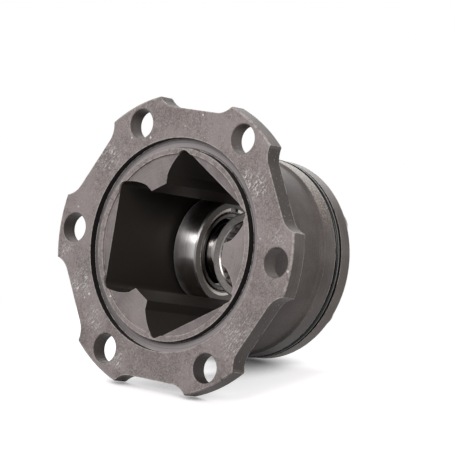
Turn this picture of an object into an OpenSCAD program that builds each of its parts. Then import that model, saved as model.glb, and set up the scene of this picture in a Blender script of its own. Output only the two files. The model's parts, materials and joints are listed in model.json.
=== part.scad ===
// Inboard plunging tripod joint: a flanged housing with three roller tracks,
// and a splined three-legged spider whose needle-bearing rollers run in them.
// The joint axis is Y. The flange face is at y = 0 and looks towards -Y.
// Millimetres.

/* [Flange] */
// Outside diameter of the flange
flange_d = 108; // [106:0.5:112]
// Thickness of the flange plate
flange_t = 6.8; // [5.5:0.1:9]
// Distance from the bolt circle to the flange rim
bolt_edge = 7; // [6:0.1:8]
// Number of bolt holes
bolt_count = 6; // [6]
// Diameter of each bolt hole
bolt_hole_d = 10.5; // [8:0.1:11]
// Chamfer on the flange rim and round each bolt hole
edge_chamfer = 0.4; // [0.2:0.1:0.6]
// Corner radius of the scallops between the bolt lugs
scallop_r = 8.7; // [7.5:0.1:9.5]
// Half length of the flat floor of each scallop
scallop_half = 10; // [8:0.5:11]
// Depth of each scallop below the flange rim
scallop_depth = 5.6; // [4:0.1:7]

/* [Flange face] */
// Wall between the track corners and the seal groove in the flange face
face_wall = 0.58; // [0.5:0.01:1]
// Width of the seal groove in the flange face
face_groove_w = 3.8; // [2.5:0.1:4.5]
// Depth of the seal groove in the flange face
face_groove_depth = 2.8; // [1.5:0.1:3]
// Width of the ridge between the seal groove and the shallow step
face_land = 1.9; // [1.5:0.1:3.5]
// Depth of that step
step_depth = 0.9; // [0.4:0.1:1.2]

/* [Housing body] */
// Length of the housing from flange face to rear rim
housing_len = 57; // [55:0.5:64]
// Outer radius of the neck behind the flange
neck_r = 35.6; // [35.3:0.1:36.2]
// Fillet between flange and neck
neck_fillet = 5; // [3:0.5:6]
// Outer radius of the rear band and rim
rim_r = 36.4; // [36.2:0.1:38]
// Length of the rear band and rim together
band_len = 15.2; // [12:0.1:16]
// Length of the slope from neck to rear band
band_slope = 1.8; // [1.5:0.1:4]
// Width of the rim behind the seal ring groove
rim_w = 5.6; // [4:0.1:6]
// Width of the groove for the rear seal ring
seal_groove_w = 3.5; // [2.6:0.1:4]
// Depth of the groove for the rear seal ring
seal_groove_depth = 1.6; // [1.4:0.05:1.7]
// Thickness of the rear seal ring
seal_ring_d = 1.8; // [1.4:0.1:2]
// Chamfer on the rear rim
rim_chamfer = 0.6; // [0.3:0.1:1]
// Depth of the conical lead-in at the rear end of the tracks
leadin_depth = 3; // [1.5:0.5:4]
// Wall between the track corners and the neck
neck_wall = 1.78; // [1.5:0.01:3]
// Wall between the track corners and the floor of the rear seal groove
groove_wall = 0.98; // [0.9:0.01:2]

/* [Tracks] */
// Running clearance between a roller and its track
track_clear = 0.2; // [0.15:0.05:0.3]
// Gap between the outer end of a roller and the outer wall of its track
track_end_gap = 1.3; // [1:0.1:1.5]
// Corner radius between a track flank and its outer wall
track_corner_r = 2.6; // [2.5:0.1:3.2]
// Gap between the edge of a roller and the guide shoulders
shoulder_gap = 0.3; // [0.2:0.05:0.5]
// Slope of the guide shoulders against the line out to the roller, in degrees
shoulder_slope = 33; // [30:1:38]
// Gap between the spider hub and the flat tip of each rib
rib_gap = 6; // [5.5:0.1:6.4]

/* [Spider] */
// Position of the spider centre behind the flange face
spider_y = 53; // [52:0.5:54]
// Gap between the hub and the inner end of a roller
hub_gap = 0.6; // [0.4:0.1:0.8]
// Length of the spider hub
hub_len = 20; // [19:0.5:21]
// Chamfer on the hub rim
hub_chamfer = 0.8; // [0.4:0.1:1.2]
// Number of spline teeth in the hub bore
spline_teeth = 28; // [24:1:30]
// Wall between the hub rim and the roots of the spline teeth
hub_wall = 3.8; // [3.5:0.1:4.2]
// Height of the spline teeth
spline_depth = 1.1; // [0.9:0.1:1.3]
// Width of the mouth chamfer round the spline roots
mouth_rise = 0.5; // [0.3:0.1:0.8]
// Depth of the mouth chamfer, and how far the ends of the spline teeth lie back
mouth_depth = 0.3; // [0.2:0.1:0.8]
// Radius of the ball on each trunnion
ball_r = 12.35; // [12.2:0.05:12.4]
// Step from the ball down to the trunnion root
root_step = 2.55; // [2.4:0.05:3]
// Depth of the trunnion root below the hub rim
root_sink = 1.2; // [1:0.1:1.5]
// Length of the flare from the trunnion root to the ball
root_flare = 1.9; // [1.5:0.1:2.5]
// Gap between the trunnion end and the outer wall of its track
trunnion_gap = 0.4; // [0.3:0.1:0.6]
// Height of the domed end beyond the ball
tip_rise = 1.5; // [1:0.1:1.8]
// Radius of the centre hole in each trunnion end
centre_hole_r = 2.2; // [1.5:0.1:3]

/* [Roller bearings] */
// Largest radius of a roller
roller_r = 19.85; // [19.7:0.05:19.9]
// Width of a roller
roller_w = 10.6; // [10:0.1:10.8]
// Chamfer on the edges of a roller
roller_chamfer = 0.5; // [0.3:0.1:0.8]
// Clearance between the ball and the bore of the inner ring
ball_clear = 0.4; // [0.35:0.05:0.5]
// Wall of the inner ring
inner_wall = 1.65; // [1.5:0.05:1.8]
// Width of the inner ring
inner_w = 9.6; // [9:0.1:9.8]
// Chamfer on the edges of the inner ring
inner_ease = 0.3; // [0.2:0.1:0.5]
// Diameter of a needle
needle_d = 1.84; // [1.7:0.02:1.9]
// Smallest gap between two needles of a set
needle_gap = 0.16; // [0.1:0.01:0.2]
// Running clearance of the needles in their races
needle_clear = 0.02; // [0.01:0.01:0.04]
// End play of the needles between their washers
needle_play = 0.1; // [0.05:0.05:0.2]
// Thickness of the washers at the needle ends
washer_t = 0.6; // [0.5:0.05:0.7]
// End play of each washer
washer_play = 0.05; // [0.02:0.01:0.1]
// Clearance between a washer and the inner ring
washer_in_clear = 0.35; // [0.2:0.05:0.5]
// Clearance between a washer and the roller
washer_out_clear = 0.1; // [0.05:0.05:0.2]
// Thickness of the snap rings
snap_t = 0.65; // [0.5:0.05:0.8]
// Width of the roller lip outside each snap ring
snap_lip = 0.35; // [0.25:0.05:0.5]
// Radial depth of the snap ring groove
snap_groove = 0.75; // [0.5:0.05:0.9]
// Side clearance of a snap ring in its groove
snap_side_clear = 0.1; // [0.05:0.05:0.2]
// Clearance between a snap ring and the floor of its groove
snap_floor_clear = 0.12; // [0.05:0.01:0.2]
// Distance that a snap ring stands in front of the needle race
snap_reach = 1.1; // [0.8:0.1:1.3]
// Angle left open in each snap ring
snap_gap = 16; // [10:1:30]

/* [Hidden] */
$fn = 96;

// Facets along one turned fillet and one crown, and the overrun of a cut past its face
fillet_steps = 6;
crown_steps = 12;
over = 1;

// Directions of the three tracks, measured from +X towards +Z
ang_a = 180;
ang_b = 60;
ang_c = 300;
track_angles = [ang_a, ang_b, ang_c];

// Places worked out along the housing
slope_end = housing_len - band_len;
seal_groove_y = housing_len - rim_w - seal_groove_w;
seal_groove_r = rim_r - seal_groove_depth;

// Bolt circle and scallops, from the flange rim inwards
bolt_pcd = flange_d - 2 * bolt_edge;
scallop_floor = flange_d / 2 - scallop_depth;
neck_round = max(edge_chamfer, min(neck_fillet, (bolt_pcd - bolt_hole_d) / 2 - neck_r));

// Track cross-section: its corners reach as far out as the thinner wall allows
track_r = roller_r + track_clear;
track_reach = min(neck_r - neck_wall, seal_groove_r - groove_wall);
corner_h = roller_w / 2 + track_end_gap - track_corner_r;
corner_v = sqrt(pow(track_r - track_corner_r, 2) - pow(corner_h, 2));
corner_u = sqrt(pow(track_reach - track_corner_r, 2) - pow(corner_v, 2));
track_u = corner_u - corner_h;
track_outer = corner_u + track_corner_r;
leadin_r = track_outer + track_corner_r;

// Guide shoulders: a slope that clears the edge of the roller and ends on the flank of the track
edge_in = roller_w / 2 - roller_chamfer;
edge_out = sqrt(pow(roller_r, 2) - pow(edge_in, 2));
shoulder_dist = edge_in * sin(shoulder_slope) + edge_out * cos(shoulder_slope) + shoulder_gap;
shoulder_run = sqrt(pow(track_r, 2) - pow(shoulder_dist, 2));
shoulder_u = track_u - shoulder_dist * sin(shoulder_slope) + shoulder_run * cos(shoulder_slope);
shoulder_v = shoulder_dist * cos(shoulder_slope) + shoulder_run * sin(shoulder_slope);
axis_v = shoulder_v - shoulder_u * tan(shoulder_slope);

// Flange face, from the track corners outwards and inwards
face_groove_ri = track_reach + face_wall;
step_r = face_groove_ri - face_land;

// Spider hub and bore, from the rollers inwards
hub_r = track_u - roller_w / 2 - hub_gap;
spline_root_r = hub_r - hub_wall;
spline_tip_r = spline_root_r - spline_depth;
rib_tip = hub_r + rib_gap;

// Bearing radii, from the ball outwards
inner_ri = ball_r + ball_clear;
inner_ro = inner_ri + inner_wall;
needle_pitch_r = inner_ro + needle_clear + needle_d / 2;
needle_count = floor(2 * PI * needle_pitch_r / (needle_d + needle_gap));
race_r = inner_ro + 2 * needle_clear + needle_d;
washer_ri = inner_ro + washer_in_clear;
washer_ro = race_r - washer_out_clear;
snap_r = race_r + snap_groove;
snap_ro = snap_r - snap_floor_clear;
snap_ri = race_r - snap_reach;

// Places along a trunnion, as distances from the joint axis
trunnion_reach = track_outer - trunnion_gap;
snap_slot_w = snap_t + snap_side_clear;
washer_slot_w = washer_t + washer_play;
needle_len = roller_w - 2 * (snap_lip + snap_slot_w + washer_slot_w) - needle_play;
ball_u1 = (pow(trunnion_reach, 2) - pow(track_u, 2) - pow(ball_r, 2)) / (2 * track_u) + track_u;
tip_u = ball_u1 + tip_rise;
tip_r = sqrt(pow(trunnion_reach, 2) - pow(tip_u, 2));
root_r = ball_r - root_step;
root_u = hub_r - root_sink;
ball_u0 = root_u + root_flare;
ball_start = acos((ball_u0 - track_u) / ball_r);
ball_end = acos((ball_u1 - track_u) / ball_r);

// Points of an arc round (cx, cy) from angle a0 to angle a1
function arc(cx, cy, r, a0, a1, n) =
    [for (i = [0:n]) [cx + r * cos(a0 + (a1 - a0) * i / n), cy + r * sin(a0 + (a1 - a0) * i / n)]];

// Turns a shape built up along Z so that it lies along the joint axis
module along_axis() {
    rotate([-90, 0, 0]) children();
}

// Turns a shape built up along X so that it points at an angle round the joint axis
module at_angle(ang) {
    rotate([0, -ang, 0]) children();
}

// Carries a shape turned round Z out along one trunnion
module on_trunnion(ang) {
    translate([0, spider_y, 0]) at_angle(ang) rotate([0, 90, 0]) children();
}

// A washer-like ring from z0 to z0 + t
module ring(ri, ro, z0, t) {
    translate([0, 0, z0]) difference() {
        cylinder(r = ro, h = t);
        translate([0, 0, -over]) cylinder(r = ri, h = t + 2 * over);
    }
}

// Flange plate with its chamfered rim
module flange_plate() {
    flange_r = flange_d / 2;
    along_axis() rotate_extrude() polygon([
        [0, 0],
        [flange_r - edge_chamfer, 0],
        [flange_r, edge_chamfer],
        [flange_r, flange_t - edge_chamfer],
        [flange_r - edge_chamfer, flange_t],
        [0, flange_t]]);
}

// One scallop: a flat floor with a round corner at each end
module scallop() {
    mid = scallop_floor + scallop_r;
    translate([mid, -over, 0]) along_axis() {
        for (side = [-1, 1])
            translate([0, side * scallop_half, 0]) cylinder(r = scallop_r, h = flange_t + 2 * over);
        translate([-scallop_r, -scallop_half, 0])
            cube([2 * scallop_r, 2 * scallop_half, flange_t + 2 * over]);
    }
}

// One bolt hole, chamfered at both faces
module bolt_hole() {
    r = bolt_hole_d / 2;
    translate([bolt_pcd / 2, 0, 0]) along_axis() {
        translate([0, 0, -over]) cylinder(r = r, h = flange_t + 2 * over);
        translate([0, 0, -edge_chamfer]) cylinder(r1 = r + 2 * edge_chamfer, r2 = r, h = 2 * edge_chamfer);
        translate([0, 0, flange_t - edge_chamfer])
            cylinder(r1 = r, r2 = r + 2 * edge_chamfer, h = 2 * edge_chamfer);
    }
}

// Turned outside of the body behind the flange
module body_blank() {
    along_axis() rotate_extrude() polygon(concat(
        [[0, flange_t / 2], [neck_r + neck_round, flange_t / 2]],
        arc(neck_r + neck_round, flange_t + neck_round, neck_round, -90, -180, fillet_steps),
        [[neck_r, slope_end - band_slope],
         [rim_r, slope_end],
         [rim_r, seal_groove_y],
         [seal_groove_r, seal_groove_y],
         [seal_groove_r, seal_groove_y + seal_groove_w],
         [rim_r, seal_groove_y + seal_groove_w],
         [rim_r, housing_len - rim_chamfer],
         [rim_r - rim_chamfer, housing_len],
         [0, housing_len]]));
}

// One roller track: two concave flanks, rounded outer corners and sloping guide shoulders
module track() {
    depth = housing_len + 2 * over;
    translate([0, -over, 0]) {
        intersection() {
            translate([track_u, 0, 0]) along_axis() cylinder(r = track_r, h = depth);
            translate([shoulder_u, 0, -track_r]) cube([corner_u - shoulder_u, depth, 2 * track_r]);
        }
        translate([corner_u - over, 0, -corner_v]) cube([track_outer - corner_u + over, depth, 2 * corner_v]);
        for (side = [-1, 1])
            translate([corner_u, 0, side * corner_v]) along_axis() cylinder(r = track_corner_r, h = depth);
        along_axis() linear_extrude(depth) polygon([
            [0, -axis_v], [shoulder_u, -shoulder_v], [shoulder_u + over, -shoulder_v],
            [shoulder_u + over, shoulder_v], [shoulder_u, shoulder_v], [0, axis_v]]);
    }
}

// Middle of the cavity, flat across the tip of each rib
module cavity_core() {
    depth = housing_len + 2 * over;
    core_r = rib_tip + over;
    translate([0, -over, 0]) intersection() {
        along_axis() cylinder(r = core_r, h = depth);
        along_axis() linear_extrude(depth)
            polygon([for (a = track_angles) 2 * rib_tip * [cos(a), -sin(a)]]);
    }
}

// Flange, neck and rear band in one forging, with the three tracks right through
module housing() {
    color("dimgray") difference() {
        union() {
            difference() {
                flange_plate();
                for (i = [0:bolt_count - 1]) {
                    at_angle((i + 0.5) * 360 / bolt_count) scallop();
                    at_angle(i * 360 / bolt_count) bolt_hole();
                }
            }
            body_blank();
        }
        along_axis() ring(face_groove_ri, face_groove_ri + face_groove_w, -over, over + face_groove_depth);
        along_axis() translate([0, 0, -over]) cylinder(r = step_r, h = over + step_depth);
        translate([0, housing_len - leadin_depth, 0]) along_axis()
            cylinder(r1 = rib_tip, r2 = leadin_r, h = leadin_depth);
        for (a = track_angles) at_angle(a) track();
        cavity_core();
    }
}

// Round-section seal ring that lies in the rear groove
module rear_seal_ring() {
    color("black") translate([0, seal_groove_y + seal_groove_w / 2, 0]) along_axis()
        rotate_extrude() translate([seal_groove_r + seal_ring_d / 2, 0]) circle(d = seal_ring_d, $fn = 32);
}

// Ball trunnion, turned round its own axis
module trunnion() {
    difference() {
        rotate_extrude() polygon(concat(
            [[0, 0], [root_r, 0], [root_r, root_u]],
            [for (p = arc(0, track_u, ball_r, 90 - ball_start, 90 - ball_end, crown_steps)) p],
            [[tip_r, tip_u], [0, tip_u]]));
        translate([0, 0, tip_u - centre_hole_r]) cylinder(r1 = 0, r2 = centre_hole_r, h = centre_hole_r + 0.01);
    }
}

// One gap between two spline teeth
module spline_gap() {
    pitch = 360 / spline_teeth;
    tip_half = spline_tip_r * sin(pitch * 0.29);
    root_half = spline_root_r * sin(pitch * 0.17);
    inner = spline_tip_r - over;
    linear_extrude(hub_len + 2 * over)
        polygon([[inner, -tip_half], [spline_tip_r, -tip_half], [spline_root_r, -root_half],
                 [spline_root_r, root_half], [spline_tip_r, tip_half], [inner, tip_half]]);
}

// Splined hub with its three ball trunnions
module spider() {
    mouth_r = spline_root_r + mouth_rise;
    color("gray") difference() {
        union() {
            translate([0, spider_y - hub_len / 2, 0]) along_axis() rotate_extrude() polygon([
                [0, 0], [hub_r - hub_chamfer, 0], [hub_r, hub_chamfer],
                [hub_r, hub_len - hub_chamfer], [hub_r - hub_chamfer, hub_len], [0, hub_len]]);
            for (a = track_angles) on_trunnion(a) trunnion();
        }
        translate([0, spider_y - hub_len / 2, 0]) along_axis() {
            translate([0, 0, -over]) cylinder(r = spline_tip_r, h = hub_len + 2 * over);
            translate([0, 0, -over])
                for (i = [0:spline_teeth - 1]) rotate([0, 0, i * 360 / spline_teeth]) spline_gap();
            translate([0, 0, -0.01]) cylinder(r1 = mouth_r, r2 = spline_root_r, h = mouth_depth);
            translate([0, 0, hub_len - mouth_depth + 0.01])
                cylinder(r1 = spline_root_r, r2 = mouth_r, h = mouth_depth);
        }
    }
}

// Roller with a crowned outside, a needle race and a snap ring groove near each end
module roller(ang) {
    half = roller_w / 2;
    edge = asin((half - roller_chamfer) / roller_r);
    edge_r = sqrt(pow(roller_r, 2) - pow(half, 2)) - roller_chamfer;
    slot = half - snap_lip - snap_slot_w;
    color("silver") on_trunnion(ang) translate([0, 0, track_u]) rotate_extrude() polygon(concat(
        [[race_r, -half], [edge_r, -half]],
        arc(0, 0, roller_r, -edge, edge, crown_steps),
        [[edge_r, half], [race_r, half],
         [race_r, half - snap_lip], [snap_r, half - snap_lip], [snap_r, slot], [race_r, slot],
         [race_r, -slot], [snap_r, -slot], [snap_r, snap_lip - half], [race_r, snap_lip - half]]));
}

// Inner ring that slides and tilts on the ball, with rounded-off end edges
module inner_ring(ang) {
    half = inner_w / 2;
    ease = inner_ease;
    color("lightgray") on_trunnion(ang) translate([0, 0, track_u]) rotate_extrude() polygon([
        [inner_ri + ease, -half], [inner_ro - ease, -half], [inner_ro, ease - half],
        [inner_ro, half - ease], [inner_ro - ease, half], [inner_ri + ease, half],
        [inner_ri, half - ease], [inner_ri, ease - half]]);
}

// Full set of needles between one inner ring and its roller
module needles(ang) {
    color("gainsboro") on_trunnion(ang) translate([0, 0, track_u - needle_len / 2])
        for (i = [0:needle_count - 1]) rotate([0, 0, i * 360 / needle_count])
            translate([needle_pitch_r, 0, 0]) cylinder(d = needle_d, h = needle_len, $fn = 24);
}

// Washer at one end of the needles: side -1 is the hub side, side 1 the outer side
module washer(ang, side) {
    inner_face = roller_w / 2 - snap_lip - snap_slot_w - washer_slot_w / 2;
    color("darkgray") on_trunnion(ang)
        ring(washer_ri, washer_ro, track_u + side * inner_face - washer_t / 2, washer_t);
}

// Open snap ring in its roller groove
module snap_ring(ang, side) {
    mid = roller_w / 2 - snap_lip - snap_slot_w / 2;
    reach = snap_ro + over;
    color("slategray") on_trunnion(ang) difference() {
        ring(snap_ri, snap_ro, track_u + side * mid - snap_t / 2, snap_t);
        translate([0, 0, track_u + side * mid - snap_t]) rotate([0, 0, -snap_gap / 2]) linear_extrude(2 * snap_t)
            polygon([[0, 0], [reach, 0], [reach * cos(snap_gap), reach * sin(snap_gap)]]);
    }
}

housing();
rear_seal_ring();
spider();
roller(ang_a);  // roller_a
inner_ring(ang_a);  // inner_ring_a
needles(ang_a);  // needles_a
washer(ang_a, -1);  // washer_in_a
washer(ang_a, 1);  // washer_out_a
snap_ring(ang_a, -1);  // snap_in_a
snap_ring(ang_a, 1);  // snap_out_a
roller(ang_b);  // roller_b
inner_ring(ang_b);  // inner_ring_b
needles(ang_b);  // needles_b
washer(ang_b, -1);  // washer_in_b
washer(ang_b, 1);  // washer_out_b
snap_ring(ang_b, -1);  // snap_in_b
snap_ring(ang_b, 1);  // snap_out_b
roller(ang_c);  // roller_c
inner_ring(ang_c);  // inner_ring_c
needles(ang_c);  // needles_c
washer(ang_c, -1);  // washer_in_c
washer(ang_c, 1);  // washer_out_c
snap_ring(ang_c, -1);  // snap_in_c
snap_ring(ang_c, 1);  // snap_out_c
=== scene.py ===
import json
import math
from types import SimpleNamespace
import bpy
from mathutils import Matrix, Vector

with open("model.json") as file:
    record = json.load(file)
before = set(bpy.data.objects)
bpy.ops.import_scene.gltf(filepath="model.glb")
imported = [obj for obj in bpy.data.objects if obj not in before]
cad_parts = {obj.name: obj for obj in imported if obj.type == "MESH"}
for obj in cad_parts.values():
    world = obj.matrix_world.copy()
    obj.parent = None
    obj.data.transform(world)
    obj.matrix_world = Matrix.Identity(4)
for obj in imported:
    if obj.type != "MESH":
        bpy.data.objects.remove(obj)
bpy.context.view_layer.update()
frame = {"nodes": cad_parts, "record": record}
nodes = frame["nodes"]
print("stage: frame loaded,", len(nodes), "nodes")


class Wire:  # one output socket of a shader node, with arithmetic on it
    def __init__(self, graph, socket):
        self.graph = graph
        self.socket = socket

    def maths(self, operation, *values):
        return self.graph.add("ShaderNodeMath", {"operation": operation}, dict(enumerate(values)))

    def __add__(self, other):
        return self.maths("ADD", self, other)

    def __radd__(self, other):
        return self.maths("ADD", other, self)

    def __sub__(self, other):
        return self.maths("SUBTRACT", self, other)

    def __rsub__(self, other):
        return self.maths("SUBTRACT", other, self)

    def __mul__(self, other):
        return self.maths("MULTIPLY", self, other)

    def __rmul__(self, other):
        return self.maths("MULTIPLY", other, self)

    def __pow__(self, other):
        return self.maths("POWER", self, other)

    def __lt__(self, other):
        return self.maths("LESS_THAN", self, other)

    def __gt__(self, other):
        return self.maths("GREATER_THAN", self, other)

    def __abs__(self):
        return self.maths("ABSOLUTE", self)

    def top(self, other):  # the larger of two
        return self.maths("MAXIMUM", self, other)

    def low(self, other):  # the smaller of two
        return self.maths("MINIMUM", self, other)


def blend(wires, shares):  # each wire times its share, added up
    total = 0.0
    for wire, share in zip(wires, shares):
        total = wire * share + total
    return total


class Graph:  # a tree of shader nodes
    def __init__(self, tree):
        self.tree = tree

    def add(self, kind, settings=None, inputs=None, output=0):
        node = self.tree.nodes.new(kind)
        for name, value in (settings or {}).items():
            setattr(node, name, value)
        for name, value in (inputs or {}).items():
            self.feed(node.inputs[name], value)
        return Wire(self, node.outputs[output])

    def feed(self, socket, value):
        if isinstance(value, Wire):
            self.tree.links.new(value.socket, socket)
        elif hasattr(value, "__len__") and len(value) == 3 and len(socket.default_value) == 4:
            socket.default_value = (*value, 1)
        else:
            socket.default_value = value

    def seen(self):  # 1 on a ray from the camera, also by way of a mirror or glass
        kinds = ("Is Camera Ray", "Is Glossy Ray", "Is Transmission Ray")
        camera, glossy, through = (self.add("ShaderNodeLightPath", output=kind) for kind in kinds)
        return camera.top(glossy).top(through)


class Paint(Graph):  # one material and the nodes in it
    def __init__(self, name):
        self.material = bpy.data.materials.new(name)
        self.material.use_nodes = True
        super().__init__(self.material.node_tree)
        self.shader = self.tree.nodes["Principled BSDF"]
        self.out = self.tree.nodes["Material Output"]

    def finish(self, sockets):  # values or wires for the sockets of the surface shader
        for name, value in sockets.items():
            self.feed(self.shader.inputs[name], value)
        return self.material

    def place(self):  # object coordinates in millimetres
        spot = self.add("ShaderNodeTexCoord", output="Object")
        return self.add("ShaderNodeVectorMath", {"operation": "MULTIPLY"}, {0: spot, 1: (1000, 1000, 1000)})

    def split(self, vector):
        return [self.add("ShaderNodeSeparateXYZ", None, {0: vector}, axis) for axis in "XYZ"]

    def gap(self, vector, spot):  # distance from a spot
        return self.add("ShaderNodeVectorMath", {"operation": "DISTANCE"}, {0: vector, 1: spot}, "Value")

    def noise(self, vector, scale, detail, rough):
        return self.add("ShaderNodeTexNoise", {"noise_dimensions": "3D"},
                        {"Vector": vector, "Scale": scale, "Detail": detail, "Roughness": rough})

    def lines(self, across, scale, detail):  # noise along one length only
        return self.add("ShaderNodeTexNoise", {"noise_dimensions": "1D"},
                        {"W": across, "Scale": scale, "Detail": detail})

    def ramp(self, value, low, high):  # 0 below low, 1 above high, smooth between
        return self.add("ShaderNodeMapRange", {"interpolation_type": "SMOOTHSTEP"},
                        {"Value": value, "From Min": low, "From Max": high})

    def band(self, value, low, high, soft=0.05):  # 1 between low and high
        return self.ramp(value, low - soft, low + soft) * (1 - self.ramp(value, high - soft, high + soft))

    def stretch(self, vector, lengths, turn):  # turned about Y, then drawn out to the lengths given in mm
        return self.add("ShaderNodeMapping", {"vector_type": "TEXTURE"},
                        {"Vector": vector, "Rotation": (0, turn, 0), "Scale": lengths})

    def mix(self, factor, first, second):  # inputs 6 and 7 and output 2 are the node's colours
        return self.add("ShaderNodeMix", {"data_type": "RGBA"}, {0: factor, 6: first, 7: second}, 2)

    def bump(self, height, distance, strength):
        return self.add("ShaderNodeBump", None,
                        {"Height": height, "Distance": distance, "Strength": strength})

    def edge(self, radius):  # 0 on a flat, rising towards a sharp edge
        soft = self.add("ShaderNodeBevel", {"samples": 4}, {"Radius": radius})
        plain = self.add("ShaderNodeNewGeometry", output="Normal")
        match = self.add("ShaderNodeVectorMath", {"operation": "DOT_PRODUCT"}, {0: soft, 1: plain}, "Value")
        return 1 - match


# Where the trunnions point in degrees, then the spider's centre and the middle of a roller in mm
trunnions = {"angles": (180, 60, 300), "spiderY": 53.0, "rollerAt": 22.195}


def alongTrunnion(paint, at):  # distance out along the nearest trunnion
    x, y, z = paint.split(at)
    out = None
    for angle in trunnions["angles"]:
        here = x * math.cos(math.radians(angle)) + z * math.sin(math.radians(angle))
        out = here if out is None else out.top(here)
    return out


# The phosphated forging: turned face, smooth step and groove floor, milled scallops, tracks in painted shade
housingLook = {
    # Colours
    "face": (0.392, 0.337, 0.328), "faceDark": (0.142, 0.121, 0.117), "worn": (0.300, 0.258, 0.256),
    "smooth": (0.300, 0.258, 0.259), "smoothDark": (0.176, 0.153, 0.152),
    "side": (0.176, 0.151, 0.143), "sideDark": (0.091, 0.077, 0.073), "milled": (0.042, 0.036, 0.033),
    "grooveFloor": (0.345, 0.308, 0.314), "grooveLine": (0.070, 0.064, 0.064),
    "track": (0.032, 0.027, 0.024), "wall": (0.010, 0.009, 0.009), "sheen": (1.0, 0.89, 0.84),
    "crest": (0.52, 0.44, 0.37), "edge": (0.60, 0.56, 0.53),
    "scuff": (0.78, 0.76, 0.75), "fleck": (0.58, 0.55, 0.51), "chip": (0.9, 0.9, 0.92),
    # Distances behind the flange face, in mm
    "faceDepth": 0.30, "stepDepth": 0.9, "trackStart": 0.97, "grooveDepth": 2.8, "flangeBack": 10.6,
    "bandStart": 41.8, "ringGroove": (47.85, 51.45), "rearFace": 56.95, "milledStart": 0.2,
    # Distances from the joint axis, in mm
    "lipRadius": 32.2, "trackReach": 34.0, "grooveRadii": (34.4, 38.2), "rimRadius": 36.4,
    "milledRadii": (39.0, 53.0), "boltCircle": 47.0, "holeRadius": 5.25,
    # Painted shade inside the bolt hole at each angle in degrees: how dark
    "boltOil": {0: 0.0, 60: 0.0, 120: 0.15, 180: 0.45, 240: 0.35, 300: 0.70},
    # Room each side of a surface that a mask picks, half the width of the groove's walls, softness, in mm
    "slack": 0.1, "wallHalf": 0.12, "wallSoft": 0.03,
    # Noises: scale, detail and roughness, and of the turned marks scale and detail
    "grain": (1.5, 4, 0.75), "coarse": (0.5, 3, 0.6), "cloud": (0.06, 3, 0.55), "crumbs": (1.1, 4, 0.75),
    "specks": (1.6, 2, 0.5), "streaks": (1.0, 4, 0.7), "scratches": (1.0, 1, 0.4), "marks": (2.4, 3),
    # How much each noise counts, in the order in which the code names them
    "toneShares": (0.55, 0.20, 0.25), "wornShares": (0.7, 0.3), "sideShares": (0.5, 0.25, 0.25),
    "polishShares": (0.6, 0.25, 0.15), "scuffShares": (0.55, 0.45), "speckCloud": 0.12,
    "bumpShares": (0.6, 0.5, 0.5),
    # Where each mix starts and where it is full
    "toneSpan": (0.36, 0.64), "wornSpan": (0.47, 0.60), "sideSpan": (0.39, 0.61), "polishSpan": (0.36, 0.64),
    "scuffSpan": (0.51, 0.59), "fleckSpan": (0.72, 0.78), "scratchSpan": (0.69, 0.74),
    "edgeSpan": (0.015, 0.08), "edgePatches": (0.36, 0.56), "crestPatches": (0.42, 0.60),
    "dullSpan": (0.2, 0.8),
    # Strengths
    "wornStrength": 0.7, "milledStrength": 0.60, "underStrength": 0.90, "lipStrength": 0.8,
    "smoothStrength": 0.95, "edgeStrength": 0.9, "crestStrength": 0.80, "rimStrength": 0.22,
    "edgeOnSmooth": 0.4, "fleckOnFace": 0.55, "fleckOnMilled": 0.5, "fleckAnywhere": 0.2,
    # Places in mm: round bolt holes, and on the groove floor its turned mark and painted shade
    "holeEdge": (0.4, 1.2), "grooveEdge": (0.3, 0.8), "grooveMark": (36.6, 36.9), "markSoft": 0.1,
    "markStrength": 0.35, "grimeStart": 36.0, "grimeLeft": (-25.0, -2.0), "grimeStrength": 0.8,
    # Heights in mm of painted shade low on the neck, painted highlight on the band's top, painted light low
    # at the back
    "underHeight": (-38.0, -8.0), "crestHeight": (10.0, 26.0), "rimHeight": (-14.0, 18.0),
    # Width of the rubbed edges with their painted highlight, in metres
    "edgeWidth": 0.0007,
    # Scuffs: the full share of their radius, and their streaks' lengths in mm and turn in radians
    "scuffCore": 0.2, "scuffStrength": 1.2, "scuffLimit": 0.85,
    "streakLengths": (0.5, 0.5, 3.0), "streakTurn": 0.6,
    # Scratches: their lengths in mm, and the turn in radians and the shift of each set
    "scratchLengths": (4.5, 1.0, 0.28), "scratchSets": ((0.5, 3.0), (-0.9, 17.0), (1.9, 41.0)),
    "scratchStrength": 0.45, "scratchLimit": 0.7,
    # Chips: where their edge starts and stops as shares of their radius, and how ragged it is
    "chipEdge": (0.35, 0.8), "chipRagged": 2.0, "grainMiddle": 0.5,
    # Shine, and the height of the grain in metres
    "rough": 0.44, "roughGrain": 0.14, "roughTrack": 0.04, "smoothPolish": 0.06, "bandPolish": 0.12,
    "metalTrack": 0.3, "metalSmooth": 0.2, "specular": 0.26,
    "bumpHeight": 0.00003, "bumpStrength": 0.6, "trackFlat": 0.9,
}
chips = [  # x, z and radius on the flange face in mm, then how pale the chip is
    (4.2, 47.0, 0.50, 0.95), (-3.1, 42.2, 0.40, 0.55), (-18.1, 36.3, 0.70, 0.75), (-26.8, 35.3, 0.60, 0.55),
    (-34.6, -22.7, 0.65, 0.85), (-36.6, -24.2, 0.50, 0.55), (-15.2, -41.6, 0.45, 0.75),
    (-24.6, -22.0, 0.55, 0.85), (-46.6, 7.7, 0.60, 0.40), (38.7, 7.3, 0.60, 0.40), (53.0, -2.2, 0.80, 0.60),
    (30.9, -19.8, 0.60, 0.45), (-50.2, -9.0, 0.70, 0.35), (-20.9, 24.6, 0.50, 0.55), (30.2, 25.4, 0.9, 0.40),
]
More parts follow.
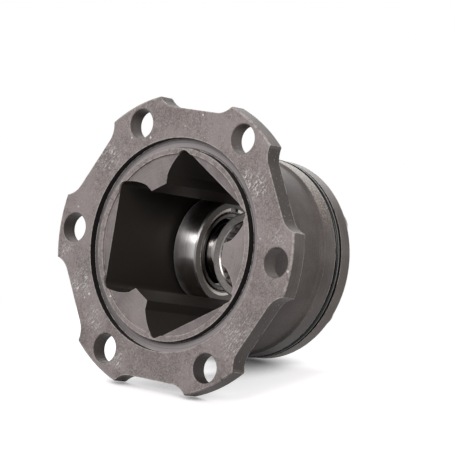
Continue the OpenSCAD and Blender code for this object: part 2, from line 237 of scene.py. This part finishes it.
scuffs = [  # x, z and radius of the rubbed patches on the flange face in mm, then their strength
    (32.0, 25.5, 8.0, 0.65), (28.6, 28.3, 3.4, 0.60), (35.2, 24.6, 3.6, 0.60), (-39.5, -19.5, 7.5, 0.80),
    (47.0, 8.0, 6.0, 0.45), (-16.9, -44.0, 4.5, 0.90), (-49.0, -8.0, 5.5, 0.60), (-24.0, 42.0, 9.0, 0.40),
    (36.0, -28.0, 12.0, 0.50), (-36.0, 27.0, 9.0, 0.65), (-30.0, -31.0, 6.5, 0.60),
]


def boltMasks(paint, x, z):  # 0 round the bolt holes and 1 elsewhere, and the painted shade inside a hole
    look = housingLook
    flat = paint.add("ShaderNodeCombineXYZ", None, {"X": x, "Z": z})
    start, stop = (look["holeRadius"] + reach for reach in look["holeEdge"])
    away = 1.0
    oiled = 0.0
    for turn, dark in look["boltOil"].items():
        across = look["boltCircle"] * math.cos(math.radians(turn))
        above = look["boltCircle"] * math.sin(math.radians(turn))
        near = 1 - paint.ramp(paint.gap(flat, (across, 0, above)), start, stop)
        away = (1 - near) * away
        oiled = near * dark + oiled
    return away, oiled


def scuffMask(paint, at, crumbs):  # rubbed patches, broken into short streaks
    look = housingLook
    rubbed = 0.0
    for cx, cz, size, strength in scuffs:
        gap = paint.gap(at, (cx, 0, cz))
        rubbed = (1 - paint.ramp(gap, size * look["scuffCore"], size)) * strength + rubbed
    streaks = paint.noise(paint.stretch(at, look["streakLengths"], look["streakTurn"]), *look["streaks"])
    broken = paint.ramp(blend((streaks, crumbs), look["scuffShares"]), *look["scuffSpan"])
    return (rubbed * broken * look["scuffStrength"]).low(look["scuffLimit"])


def scratchMask(paint, at):  # fine lines that run in three directions
    look = housingLook
    scratch = 0.0
    for turn, shift in look["scratchSets"]:
        moved = paint.add("ShaderNodeVectorMath", {"operation": "ADD"}, {0: at, 1: (shift, shift, shift)})
        fine = paint.noise(paint.stretch(moved, look["scratchLengths"], turn), *look["scratches"])
        scratch = paint.ramp(fine, *look["scratchSpan"]) + scratch
    return (scratch * look["scratchStrength"]).low(look["scratchLimit"])


def grooveColour(paint, x, r):  # face groove floor: painted shade at its inner edge and near its outer edge on the left, turned mark
    look = housingLook
    grooveIn, grooveOut = look["grooveRadii"]
    start, stop = (grooveIn + reach for reach in look["grooveEdge"])
    mark = paint.band(r, *look["grooveMark"], look["markSoft"]) * look["markStrength"]
    grime = paint.ramp(r, look["grimeStart"], grooveOut) * (1 - paint.ramp(x, *look["grimeLeft"]))
    clean = paint.ramp(r, start, stop) * (1 - mark) * (1 - grime * look["grimeStrength"])
    return paint.mix(clean, look["grooveLine"], look["grooveFloor"])


def housingMasks(paint, x, y, z, r):  # each is 1 on the surface that it is named after
    look = housingLook
    slack = look["slack"]
    depth = look["grooveDepth"]
    grooveIn, grooveOut = look["grooveRadii"]
    ringStart, ringStop = look["ringGroove"]
    mask = SimpleNamespace()
    mask.front = y < look["faceDepth"]
    mask.inside = (r < look["trackReach"]) * (y > look["trackStart"]) * (y < look["rearFace"])
    mask.outside = 1 - mask.inside
    mask.smooth = (y > look["faceDepth"]) * (y < look["stepDepth"] + slack) * (r < grooveIn) * mask.outside
    mask.grooveFloor = (y > depth - slack) * (y < depth + slack) * (r > grooveIn) * (r < grooveOut + slack)
    # painted shade: the face groove's walls, made near black
    walls = 0.0
    for radius in (grooveIn, grooveOut):
        walls = paint.band(r, radius - look["wallHalf"], radius + look["wallHalf"], look["wallSoft"]) + walls
    mask.grooveWalls = (walls * (y > slack) * (y < depth - slack / 2)).low(1.0)
    mask.away, mask.oiled = boltMasks(paint, x, z)
    mask.milled = paint.band(y, look["milledStart"], look["flangeBack"])
    mask.milled = mask.milled * paint.band(r, *look["milledRadii"]) * mask.away
    # painted shade, growing towards the bottom of the neck
    mask.under = (1 - paint.ramp(z, *look["underHeight"])) * (y > look["flangeBack"]) * (y < ringStart)
    # painted shade: the seal ring's groove, made near black
    mask.sealBed = (y > ringStart) * (y < ringStop)
    mask.sealBed = mask.sealBed * (r < look["rimRadius"] - slack) * (r > look["trackReach"])
    mask.band = (y > look["bandStart"]) * mask.outside * (1 - mask.sealBed)
    # painted highlight on the top of the band
    mask.crest = paint.ramp(z, *look["crestHeight"]) * mask.band * (y < ringStart)
    # painted light, lighter towards the bottom at the back
    mask.rim = (y > ringStop) * mask.outside * (1 - paint.ramp(z, *look["rimHeight"]))
    return mask


def housingTones(paint, mask, noise, r):  # colours of the turned face, of the sides with their painted shade, and of the smooth step
    look = housingLook
    tone = paint.ramp(blend((noise.grain, noise.coarse, noise.cloud), look["toneShares"]), *look["toneSpan"])
    face = paint.mix(tone, look["faceDark"], look["face"])
    worn = paint.ramp(blend((noise.cloud, noise.coarse), look["wornShares"]), *look["wornSpan"])
    face = paint.mix(worn * look["wornStrength"], face, look["worn"])
    shade = paint.ramp(blend((noise.cloud, noise.grain, noise.marks), look["sideShares"]), *look["sideSpan"])
    side = paint.mix(shade, look["sideDark"], look["side"])
    side = paint.mix(mask.milled * mask.outside * look["milledStrength"], side, look["milled"])
    side = paint.mix(mask.under * look["underStrength"], side, look["milled"])  # painted shade, darker towards the bottom of the neck
    # painted shade inside some of the bolt holes, by the amounts listed
    side = paint.mix(mask.oiled, side, look["wall"])
    polish = blend((noise.cloud, noise.grain, noise.marks), look["polishShares"])
    polish = paint.ramp(polish, *look["polishSpan"])
    turned = paint.mix(polish, look["smoothDark"], look["smooth"])
    step = paint.mix((r > look["lipRadius"]) * look["lipStrength"], turned, face)
    return face, side, step


def housingWear(paint, mask, noise, at, base):  # scuffs, flecks, scratches, and edges rubbed bare in patches with a painted highlight
    look = housingLook
    base = paint.mix(scuffMask(paint, at, noise.crumbs) * mask.front, base, look["scuff"])
    flecks = paint.ramp(noise.specks + noise.cloud * look["speckCloud"], *look["fleckSpan"]) * mask.outside
    spread = mask.front * look["fleckOnFace"] + mask.milled * look["fleckOnMilled"] + look["fleckAnywhere"]
    base = paint.mix(flecks * spread, base, look["fleck"])
    base = paint.mix(scratchMask(paint, at) * mask.front, base, look["fleck"])
    # edge wear together with a painted highlight along the edges
    edges = paint.ramp(paint.edge(look["edgeWidth"]), *look["edgeSpan"]) * mask.outside * mask.away
    edges = edges * (1 - mask.smooth * (1 - look["edgeOnSmooth"]))
    edges = edges * paint.ramp(noise.coarse, *look["edgePatches"])
    return paint.mix(edges * look["edgeStrength"], base, look["edge"])


def housingSteel():
    look = housingLook
    paint = Paint("housingSteel")
    at = paint.place()
    x, y, z = paint.split(at)
    r = (x * x + z * z) ** 0.5
    mask = housingMasks(paint, x, y, z, r)
    names = ("grain", "coarse", "cloud", "crumbs", "specks")
    noise = SimpleNamespace(**{name: paint.noise(at, *look[name]) for name in names})
    noise.marks = paint.lines(r + y, *look["marks"])  # runs across every turned mark

    face, side, step = housingTones(paint, mask, noise, r)
    base = paint.mix(mask.front, side, face)
    base = paint.mix(mask.smooth * look["smoothStrength"], base, step)
    base = paint.mix(mask.grooveFloor, base, grooveColour(paint, x, r))
    base = housingWear(paint, mask, noise, at, base)
    # painted shade: the tracks near black, deep in the cavity
    base = paint.mix(mask.inside, base, look["track"])
    # painted shade on the face groove's walls
    base = paint.mix(mask.grooveWalls, base, look["wall"])
    # painted shade in the seal ring's groove
    base = paint.mix(mask.sealBed, base, look["wall"])
    # painted highlight: beige patches on the top of the band
    crest = mask.crest * paint.ramp(noise.grain, *look["crestPatches"])
    base = paint.mix(crest * look["crestStrength"], base, look["crest"])
    # painted light on the lower part at the back
    base = paint.mix(mask.rim * look["rimStrength"], base, look["crest"])
    for cx, cz, size, pale in chips:
        core, rest = (size * share for share in look["chipEdge"])
        ragged = (noise.grain - look["grainMiddle"]) * size * look["chipRagged"]
        gap = paint.gap(at, (cx, 0, cz)) + ragged
        base = paint.mix((1 - paint.ramp(gap, core, rest)) * pale, base, look["chip"])

    rough = paint.ramp(noise.grain, *look["dullSpan"]) * look["roughGrain"] + look["rough"]
    rough = rough + mask.inside * look["roughTrack"] - mask.smooth * look["smoothPolish"]
    height = blend((noise.grain, noise.marks, noise.crumbs), look["bumpShares"])
    height = height * (1 - mask.inside * look["trackFlat"])
    return paint.finish({
        "Base Color": base, "Specular IOR Level": look["specular"], "Specular Tint": look["sheen"],
        "Metallic": mask.inside * look["metalTrack"] + mask.smooth * look["metalSmooth"],
        "Roughness": rough - mask.band * look["bandPolish"],
        "Normal": paint.bump(height, look["bumpHeight"], look["bumpStrength"]),
    })


# The ground rollers: bright crown with fine rings round it, darker ends. The bump height is in metres
rollerLook = {
    "steel": (0.93, 0.89, 0.885), "dull": (0.52, 0.498, 0.492), "end": (0.250, 0.230, 0.220),
    "endAt": 5.25, "endMetal": 0.5, "stretch": 0.88,
    "smear": (0.35, 3, 0.6), "fine": (5.0, 2, 0.6), "ground": (1.6, 3), "shares": (0.4, 0.6),
    "rough": 0.25, "roughSmear": 0.04, "roughGround": 0.08, "roughEnd": 0.14,
    "bumpHeight": 0.00001, "bumpStrength": 0.3,
}


def rollerSteel():
    look = rollerLook
    paint = Paint("rollerSteel")
    at = paint.place()
    out = alongTrunnion(paint, at)
    smear = paint.noise(at, *look["smear"])
    ground = paint.lines(out, *look["ground"])
    end = abs(out - trunnions["rollerAt"]) > look["endAt"]
    fine = paint.noise(at, *look["fine"])
    base = paint.mix(blend((smear, ground), look["shares"]), look["dull"], look["steel"])
    rough = smear * look["roughSmear"] + ground * look["roughGround"] + look["rough"]
    return paint.finish({
        "Base Color": paint.mix(end, base, look["end"]), "Metallic": 1 - end * look["endMetal"],
        "Roughness": rough + end * look["roughEnd"], "Anisotropic": look["stretch"],
        "Normal": paint.bump(fine, look["bumpHeight"], look["bumpStrength"]),
    })


# The spider: pale hub, ground trunnions, a bore painted darker as shade inside it, with chamfered mouths
spiderLook = {
    "steel": (0.46, 0.43, 0.42), "dull": (0.32, 0.30, 0.29), "ground": (0.150, 0.138, 0.130),
    "bore": (0.19, 0.17, 0.16), "cut": (0.24, 0.225, 0.215),
    # In mm: where the balls start, the radii of the chamfers and how far these are from the hub's middle
    "ballStart": (16.3, 16.5), "mouth": (12.45, 13.05), "mouthAt": 9.65,
    "grain": (1.8, 4, 0.65), "grainSpan": (0.3, 0.7),
    "metal": 0.4, "metalBright": 0.6, "metalBore": 0.3,
    "rough": 0.32, "roughGrain": 0.2, "roughBright": 0.24, "roughBore": 0.25,
    "bumpHeight": 0.00003, "bumpStrength": 0.4,
}


def spiderSteel():
    look = spiderLook
    paint = Paint("spiderSteel")
    at = paint.place()
    x, y, z = paint.split(at)
    r = (x * x + z * z) ** 0.5
    inner, outer = look["mouth"]
    ball = paint.ramp(r, *look["ballStart"])
    bore = r < inner
    mouth = (r > inner) * (r < outer) * (abs(y - trunnions["spiderY"]) > look["mouthAt"])
    bright = ball.top(mouth)
    grain = paint.noise(at, *look["grain"])
    base = paint.mix(paint.ramp(grain, *look["grainSpan"]), look["dull"], look["steel"])
    base = paint.mix(ball, base, look["ground"])
    # painted shade inside the bore
    base = paint.mix(bore, base, look["bore"])
    base = paint.mix(mouth, base, look["cut"])
    rough = grain * look["roughGrain"] + look["rough"] - bright * look["roughBright"]
    return paint.finish({
        "Base Color": base, "Roughness": rough + bore * look["roughBore"],
        "Metallic": bright * look["metalBright"] + look["metal"] - bore * look["metalBore"],
        "Normal": paint.bump(grain, look["bumpHeight"], look["bumpStrength"]),
    })


# Rings, needles and washers in a roller, then the snap rings: smear is a noise's scale, detail and roughness
# The bearing parts are dull steel, painted darker still as shade in the roller's recess
bearingLook = {
    "steel": (0.20, 0.19, 0.185), "dull": (0.10, 0.095, 0.09), "smear": (1.2, 3, 0.6),
    "metal": 1.0, "rough": 0.26, "roughSmear": 0.15,
}
springLook = {
    "steel": (0.62, 0.57, 0.53), "dull": (0.42, 0.38, 0.35), "smear": (0.8, 3, 0.6),
    "metal": 0.9, "rough": 0.18, "roughSmear": 0.15,
}


def smearedSteel(name, look):
    paint = Paint(name)
    smear = paint.noise(paint.place(), *look["smear"])
    return paint.finish({
        "Base Color": paint.mix(smear, look["dull"], look["steel"]), "Metallic": look["metal"],
        "Roughness": smear * look["roughSmear"] + look["rough"],
    })


# The rear seal ring: black rubber, with a painted highlight along its top where it stands out of its groove
rubberLook = {
    "clean": (0.004, 0.004, 0.004), "dusty": (0.012, 0.012, 0.011), "crest": (0.175, 0.172, 0.165),
    "crestRadius": (36.49, 36.56), "crestHeight": (-28.0, 2.0),
    "dust": (1.5, 4, 0.7), "dustSpan": (0.45, 0.75), "rough": 0.18, "roughDust": 0.1, "specular": 0.25,
}


def sealRubber():
    look = rubberLook
    paint = Paint("sealRubber")
    at = paint.place()
    x, y, z = paint.split(at)
    dust = paint.noise(at, *look["dust"])
    # painted highlight: a pale line round the top of the ring
    crest = paint.ramp((x * x + z * z) ** 0.5, *look["crestRadius"]) * paint.ramp(z, *look["crestHeight"])
    base = paint.mix(paint.ramp(dust, *look["dustSpan"]), look["clean"], look["dusty"])
    return paint.finish({
        "Base Color": paint.mix(crest, base, look["crest"]), "Specular IOR Level": look["specular"],
        "Roughness": dust * look["roughDust"] + look["rough"],
    })


finishes = {
    "housing_steel": housingSteel(), "spider_steel": spiderSteel(), "roller_steel": rollerSteel(),
    "bearing_steel": smearedSteel("bearingSteel", bearingLook),
    "spring_steel": smearedSteel("springSteel", springLook), "seal_rubber": sealRubber(),
}
for part in frame["record"]["subparts"]:
    piece = nodes[part["node"]]
    piece.data.materials.clear()
    piece.data.materials.append(finishes[part["material_slot"]])
print("stage: finishes done")

tableLook = {
    # The sloping top in metres: its slope, the flange edge that rests on it, half its size and its middle
    "slope": 0.3016, "edgeY": 0.0068, "edgeZ": -0.05136, "half": (0.16, 0.094), "centre": (0.03, -0.016),
    "sink": 0.0001,
    # The card, what it throws back on the part, and how white it is lifted
    "card": (0.45, 0.415, 0.422), "bounce": (0.11, 0.11, 0.11), "lift": 0.72,
    # The shadow where the part is near: how far it reaches in metres, and where it starts and stops
    "shadowReach": 0.018, "shadowSamples": 12, "shadowSpan": (0.02, 0.5),
    # The sides on which it opens to plain white, in mm, and how far it does
    "openBack": (52.0, 66.0), "openLeft": (-34.0, -16.0), "openRight": (28.0, 46.0),
    "openShare": 0.9, "openLift": 0.27,
    # The light patch under the body that shows through the lowest bolt hole, in mm
    "brightSpot": (-6.0, 37.0), "spotReach": (5.0, 13.0), "spotLift": 0.45,
}


def tableWhite():
    look = tableLook
    paint = Paint("tableWhite")
    seen = paint.seen()
    near = paint.add("ShaderNodeAmbientOcclusion", {"samples": look["shadowSamples"]},
                     {"Distance": look["shadowReach"]}, "AO")
    x, y, z = paint.split(paint.place())
    clear = paint.ramp(y, *look["openBack"]).top(paint.ramp(x, *look["openRight"]))
    clear = clear.top(1 - paint.ramp(x, *look["openLeft"]))
    flat = paint.add("ShaderNodeCombineXYZ", None, {"X": x, "Y": y})
    spot = 1 - paint.ramp(paint.gap(flat, (*look["brightSpot"], 0)), *look["spotReach"])
    lift = paint.ramp(near, *look["shadowSpan"]).top(clear * look["openShare"]) * look["lift"]
    lift = lift + clear * look["openLift"] + spot * look["spotLift"]
    card = paint.add("ShaderNodeBsdfDiffuse", None, {"Color": paint.mix(seen, look["bounce"], look["card"])})
    glow = paint.add("ShaderNodeEmission", None, {"Color": (1, 1, 1), "Strength": seen * lift})
    both = paint.add("ShaderNodeAddShader", None, {0: card, 1: glow})
    paint.feed(paint.out.inputs["Surface"], both)
    return paint.material


def whiteTable():
    look = tableLook
    bpy.ops.object.select_all(action="DESELECT")
    bpy.ops.mesh.primitive_grid_add(x_subdivisions=4, y_subdivisions=4, size=2)
    table = bpy.context.object
    table.name = "table"
    rise = look["slope"] * (look["centre"][1] - look["edgeY"])
    middle = Vector((*look["centre"], look["edgeZ"] + rise - look["sink"]))
    table.data.transform(Matrix.Diagonal((*look["half"], 1, 1)))
    table.data.transform(Matrix.Translation(middle) @ Matrix.Rotation(math.atan(look["slope"]), 4, "X"))
    table.data.materials.append(tableWhite())


whiteTable()

worldLook = {"light": 0.26, "seen": 1.0}


def whiteWorld():  # white to look at, a weaker light on the part
    world = bpy.data.worlds.new("studio")
    bpy.context.scene.world = world
    world.use_nodes = True
    graph = Graph(world.node_tree)
    back = graph.tree.nodes["Background"]
    strengths = {0: graph.seen(), 2: worldLook["light"], 3: worldLook["seen"]}
    graph.feed(back.inputs["Strength"], graph.add("ShaderNodeMix", None, strengths))
    graph.feed(back.inputs["Color"], (1, 1, 1))


whiteWorld()

lampLook = {
    "keyFront": {"place": (0.383, -0.821, 0.423), "size": (1.30, 0.50), "power": 9.7},
    "backTop": {"place": (-0.45, 0.75, 0.55), "size": (0.9, 0.5), "power": 2.6},
}
lampAim = Vector((0, 0.025, 0))
for name, lamp in lampLook.items():
    light = bpy.data.lights.new(name, "AREA")
    light.shape = "RECTANGLE"
    light.size, light.size_y = lamp["size"]
    light.energy = lamp["power"]
    holder = bpy.data.objects.new(name, light)
    bpy.context.scene.collection.objects.link(holder)
    holder.location = lamp["place"]
    holder.rotation_euler = (lampAim - Vector(lamp["place"])).to_track_quat("-Z", "Y").to_euler()

cameraLook = {
    "place": (0.7919, -0.9518, 0.0157),
    "right": (0.7671, 0.6204, 0.1634),
    "up": (-0.1304, -0.0986, 0.9865),
    "lens": 276.9, "sensor": 36, "clip": (0.01, 20),
}


def photoCamera():
    look = cameraLook
    lens = bpy.data.cameras.new("photoView")
    lens.sensor_width = look["sensor"]
    lens.lens = look["lens"]
    lens.clip_start, lens.clip_end = look["clip"]
    camera = bpy.data.objects.new("photoView", lens)
    bpy.context.scene.collection.objects.link(camera)
    right = Vector(look["right"]).normalized()
    up = Vector(look["up"])
    up = (up - right * up.dot(right)).normalized()
    turn = Matrix((right, up, right.cross(up))).transposed().to_4x4()
    camera.matrix_world = Matrix.Translation(look["place"]) @ turn
    bpy.context.scene.camera = camera


photoCamera()
bpy.context.scene.view_settings.view_transform = "Standard"
print("stage: table, lights and camera done")
